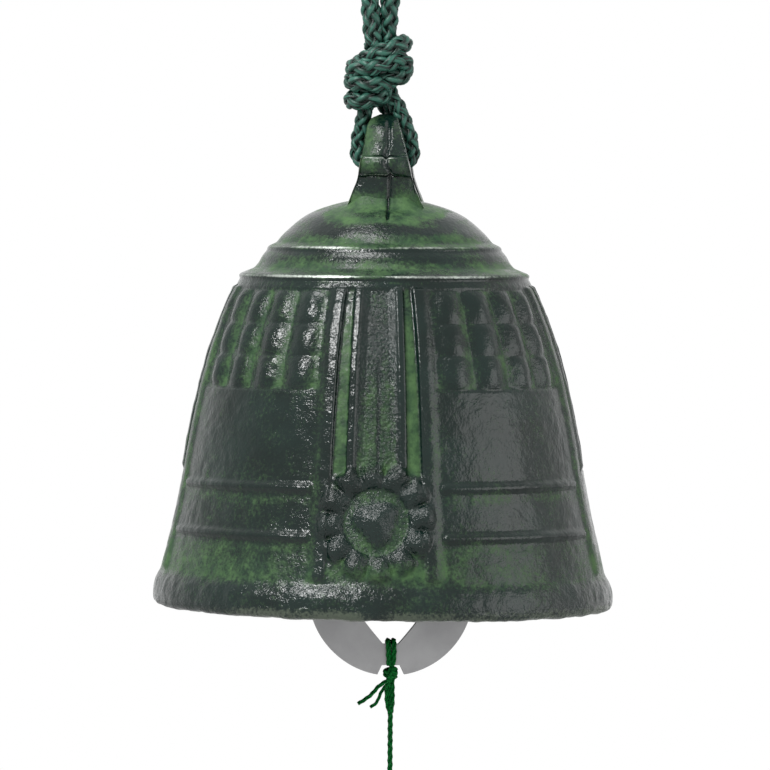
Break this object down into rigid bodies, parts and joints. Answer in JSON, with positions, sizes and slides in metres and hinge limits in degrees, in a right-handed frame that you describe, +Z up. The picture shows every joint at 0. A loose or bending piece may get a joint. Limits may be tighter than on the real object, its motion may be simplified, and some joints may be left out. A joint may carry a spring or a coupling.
{
  "type": "wind bell",
  "caption": "Cast iron wind bell shaped like a temple bell, hung from a knotted cord, with a steel clapper plate on a thread and a paper wind strip that makes it ring.",
  "frame": {"origin": "where a hook bears at the top of the hanging cord's loop, on the bell's axis", "axes": "+Z up along the bell's axis, -Y towards the front medallion, +X to the viewer's right"},
  "size_m": [0.075, 0.075, 0.2813],
  "materials": {
    "iron": "glossy dark casting with green patina in the recesses",
    "steel": "satin",
    "cord": "braided, matt",
    "thread": "twisted, matt",
    "paper": "matt"
  },
  "bodies": {
    "hanging_cord": {"hanging_loop": "cord", "crown_knot": "cord", "crown_bight": "cord"},
    "bell": {"bell_casting": "iron", "clapper_staple": "steel", "staple_loop": "thread"},
    "thread_top": {"upper_knot": "thread"},
    "clapper_line": {"clapper_thread": "thread"},
    "clapper": {"clapper_plate": "steel", "plate_tie": "thread", "wind_tie": "thread"},
    "wind_knot": {"wind_knot": "thread"},
    "wind_line": {"wind_thread": "thread"},
    "strip_top": {"strip_knot": "thread"},
    "strip": {"wind_strip": "paper", "strip_tie": "thread"}
  },
  "joints": [
    {"name": "bell_rock", "type": "hinge", "parent": "hanging_cord", "child": "bell", "pos_m": [0, 0, -0.055], "axis": [1, 0, 0], "range_deg": [-25, 25]},
    {"name": "clapper_turn", "type": "hinge", "parent": "bell", "child": "thread_top", "pos_m": [0.00135, 0, -0.0736], "axis": [0, 0, 1], "continuous": true},
    {"name": "clapper_swing", "type": "hinge", "parent": "thread_top", "child": "clapper_line", "pos_m": [0.00135, 0, -0.0736], "axis": [0, 1, 0], "range_deg": [-18, 18]},
    {"name": "clapper_nod", "type": "hinge", "parent": "clapper_line", "child": "clapper", "pos_m": [0.00135, 0, -0.11245], "axis": [1, 0, 0], "range_deg": [-20, 20]},
    {"name": "wind_rock", "type": "hinge", "parent": "clapper", "child": "wind_knot", "pos_m": [0.00135, 0, -0.13895], "axis": [1, 0, 0], "range_deg": [-45, 45]},
    {"name": "wind_sway", "type": "hinge", "parent": "wind_knot", "child": "wind_line", "pos_m": [0.00135, 0, -0.13895], "axis": [0, 1, 0], "range_deg": [-45, 45]},
    {"name": "strip_spin", "type": "hinge", "parent": "wind_line", "child": "strip_top", "pos_m": [0.00135, 0, -0.18095], "axis": [0, 0, 1], "continuous": true},
    {"name": "strip_swing", "type": "hinge", "parent": "strip_top", "child": "strip", "pos_m": [0.00135, 0, -0.18095], "axis": [1, 0, 0], "range_deg": [-60, 60]}
  ]
}
